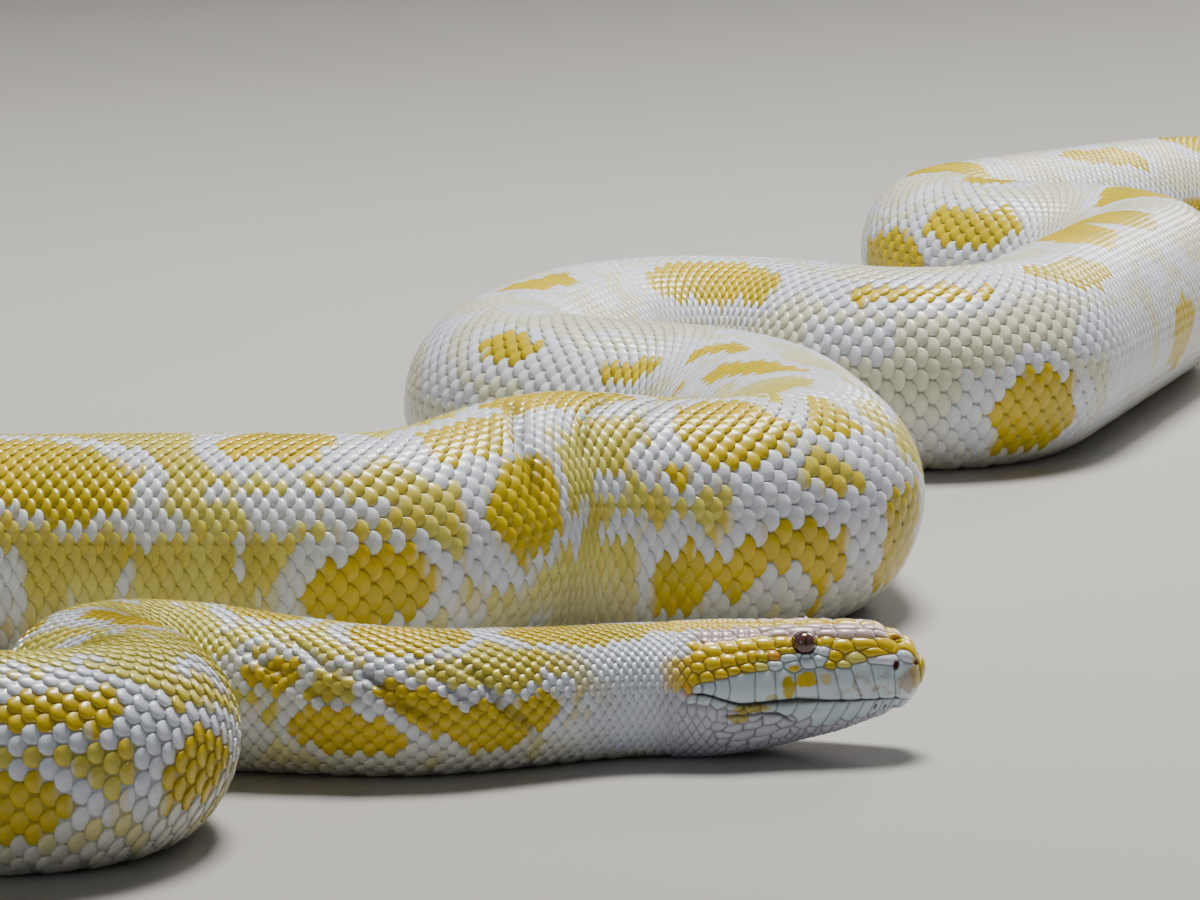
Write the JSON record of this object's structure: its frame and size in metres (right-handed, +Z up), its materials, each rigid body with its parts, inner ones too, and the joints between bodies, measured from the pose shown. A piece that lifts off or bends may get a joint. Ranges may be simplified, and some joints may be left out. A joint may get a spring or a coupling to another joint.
{
  "type": "coiled python",
  "caption": "Life-size still model of an albino Burmese python lying in loose loops, head low and forward, whole from snout to curled tail.",
  "frame": {"origin": "middle of the bounding box, at floor level", "axes": "+Z up, +X the way the snout points, +Y from the head towards the coils behind it"},
  "size_m": [1.2766, 1.5942, 0.1115],
  "materials": {
    "python_skin": "soft satin skin, blotched gold on white and pale yellow",
    "python_scales": "glossy overlapping scales, blotched gold on white and pale yellow",
    "python_eye": "wet dark red-brown with an upright slit pupil"
  },
  "bodies": {
    "root": {"head": "python_skin", "neck": "python_skin", "trunk_01": "python_skin", "trunk_02": "python_skin", "trunk_03": "python_skin", "trunk_04": "python_skin", "trunk_05": "python_skin", "trunk_06": "python_skin", "trunk_07": "python_skin", "trunk_08": "python_skin", "trunk_09": "python_skin", "trunk_10": "python_skin", "trunk_11": "python_skin", "trunk_12": "python_skin", "trunk_13": "python_skin", "trunk_14": "python_skin", "trunk_15": "python_skin", "trunk_16": "python_skin", "trunk_17": "python_skin", "trunk_18": "python_skin", "trunk_19": "python_skin", "trunk_20": "python_skin", "trunk_21": "python_skin", "tail_1": "python_skin", "tail_2": "python_skin", "tail_3": "python_skin", "tail_4": "python_skin", "tail_5": "python_skin", "tail_6": "python_skin", "eye_left": "python_eye", "eye_right": "python_eye"}
  },
  "joints": []
}
